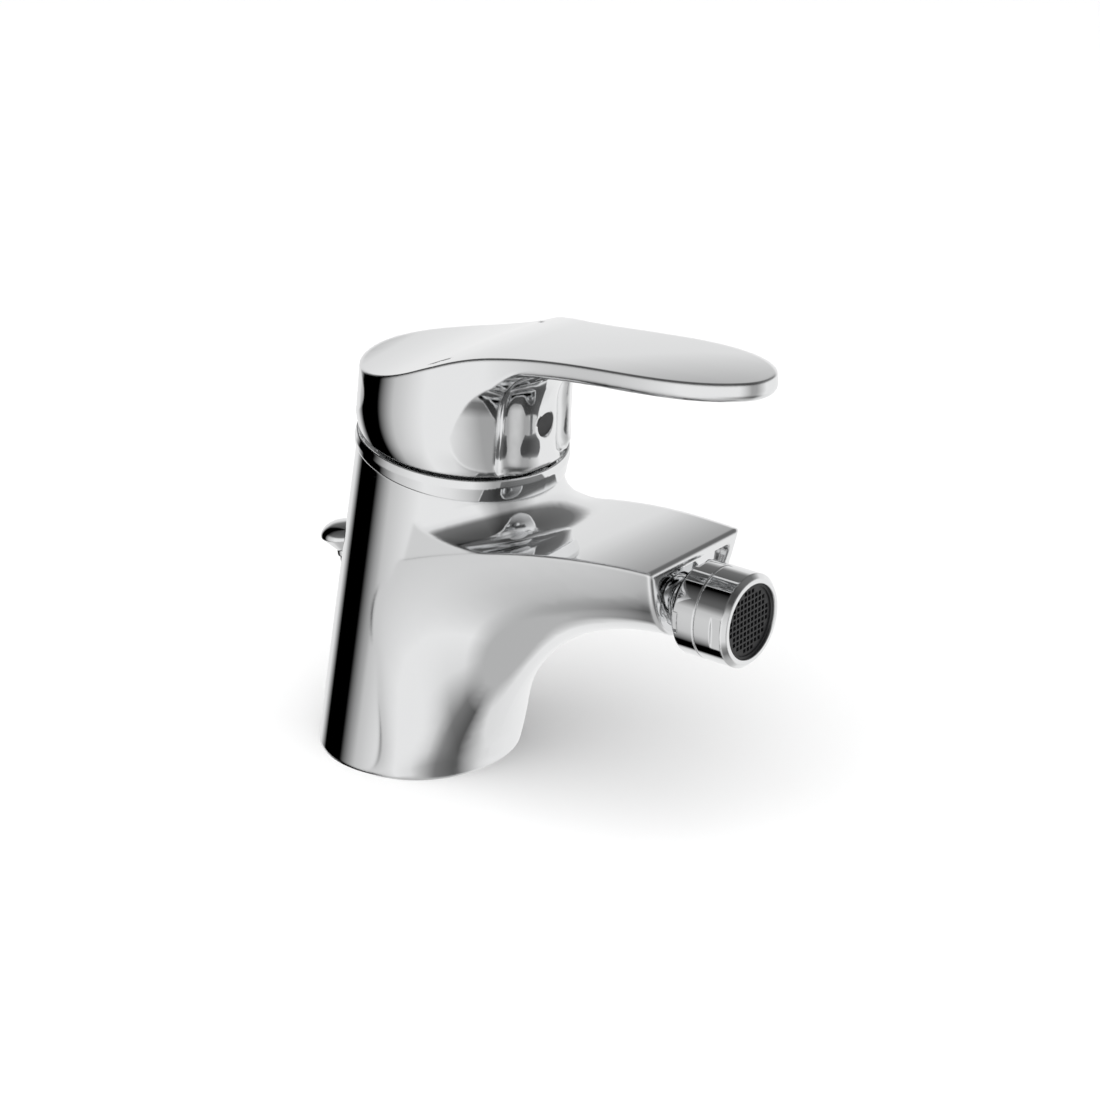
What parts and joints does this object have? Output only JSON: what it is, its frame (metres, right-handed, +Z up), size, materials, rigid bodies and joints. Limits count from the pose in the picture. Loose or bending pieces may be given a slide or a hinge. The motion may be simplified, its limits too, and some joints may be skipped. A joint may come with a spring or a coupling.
{
  "type": "bidet mixer",
  "caption": "Single-lever bidet mixer with a leaning round body, short spout, swivelling spray nozzle, ceramic-disc cartridge and a pull rod behind.",
  "frame": {"origin": "centre of the base's sealing face, where the body stands on the deck", "axes": "+X forward along the spout, +Z up, +Y to the left of someone looking along the spout"},
  "size_m": [0.1445, 0.0574, 0.1271],
  "materials": {
    "body_casting": "polished",
    "base_seal": "matt",
    "cover_ring": "polished",
    "lever_handle": "polished",
    "temperature_marks": "enamel",
    "screw_plug": "satin",
    "grub_screw": "plain",
    "lever_stem": "machined",
    "stem_pin": "ground",
    "cartridge_rotor": "moulded",
    "limiter_ring": "moulded",
    "cartridge_housing": "moulded",
    "cartridge_base": "moulded",
    "port_seals": "matt",
    "fixed_disc": "lapped ceramic",
    "moving_disc": "lapped ceramic",
    "disc_carrier": "moulded",
    "clamp_nut": "machined",
    "ball_nipple": "polished",
    "nipple_seal": "matt",
    "slip_ring": "moulded",
    "nozzle_collar": "polished",
    "aerator_sleeve": "polished",
    "nozzle_seal": "matt",
    "aerator_gasket": "matt",
    "flow_regulator": "moulded",
    "aerator_insert": "moulded",
    "pull_rod": "polished",
    "pull_knob": "polished",
    "rod_bush": "moulded"
  },
  "bodies": {
    "body": {"body_casting": "body_casting", "base_seal": "base_seal", "cover_ring": "cover_ring", "clamp_nut": "clamp_nut", "cartridge_housing": "cartridge_housing", "limiter_ring": "limiter_ring", "cartridge_base": "cartridge_base", "port_seals": "port_seals", "fixed_disc": "fixed_disc", "ball_nipple": "ball_nipple", "nipple_seal": "nipple_seal", "rod_bush": "rod_bush"},
    "rotor": {"cartridge_rotor": "cartridge_rotor", "stem_pin": "stem_pin"},
    "lever": {"lever_handle": "lever_handle", "temperature_marks": "temperature_marks", "screw_plug": "screw_plug", "grub_screw": "grub_screw", "lever_stem": "lever_stem"},
    "disc": {"moving_disc": "moving_disc", "disc_carrier": "disc_carrier"},
    "slip": {"slip_ring": "slip_ring"},
    "nozzle": {"nozzle_collar": "nozzle_collar", "aerator_sleeve": "aerator_sleeve", "nozzle_seal": "nozzle_seal", "aerator_gasket": "aerator_gasket", "flow_regulator": "flow_regulator", "aerator_insert": "aerator_insert"},
    "pull": {"pull_rod": "pull_rod", "pull_knob": "pull_knob"}
  },
  "joints": [
    {"name": "lever_swivel", "type": "hinge", "parent": "body", "child": "rotor", "pos_m": [0.018, 0, 0.0924], "axis": [0.1331, 0, 0.9911], "range_deg": [-45, 45]},
    {"name": "lever_lift", "type": "hinge", "parent": "rotor", "child": "lever", "pos_m": [0.0196, 0, 0.10429], "axis": [0, -1, 0], "range_deg": [0, 14]},
    {"name": "disc_slide", "type": "slide", "parent": "rotor", "child": "disc", "axis": [0.9911, 0, -0.1331], "range_m": [0, 0.0034]},
    {"name": "nozzle_pitch", "type": "hinge", "parent": "body", "child": "slip", "pos_m": [0.0966, 0, 0.064], "axis": [0, 1, 0], "range_deg": [-10, 10]},
    {"name": "nozzle_yaw", "type": "hinge", "parent": "slip", "child": "nozzle", "pos_m": [0.0966, 0, 0.064], "axis": [0, 0, 1], "range_deg": [-10, 10]},
    {"name": "pull_rod_slide", "type": "slide", "parent": "body", "child": "pull", "axis": [-0.1201, 0, 0.9928], "range_m": [0, 0.012]}
  ],
  "couplings": [
    {"joint": "disc_slide", "follows": "lever_lift", "m_per_rad": 0.0135}
  ]
}
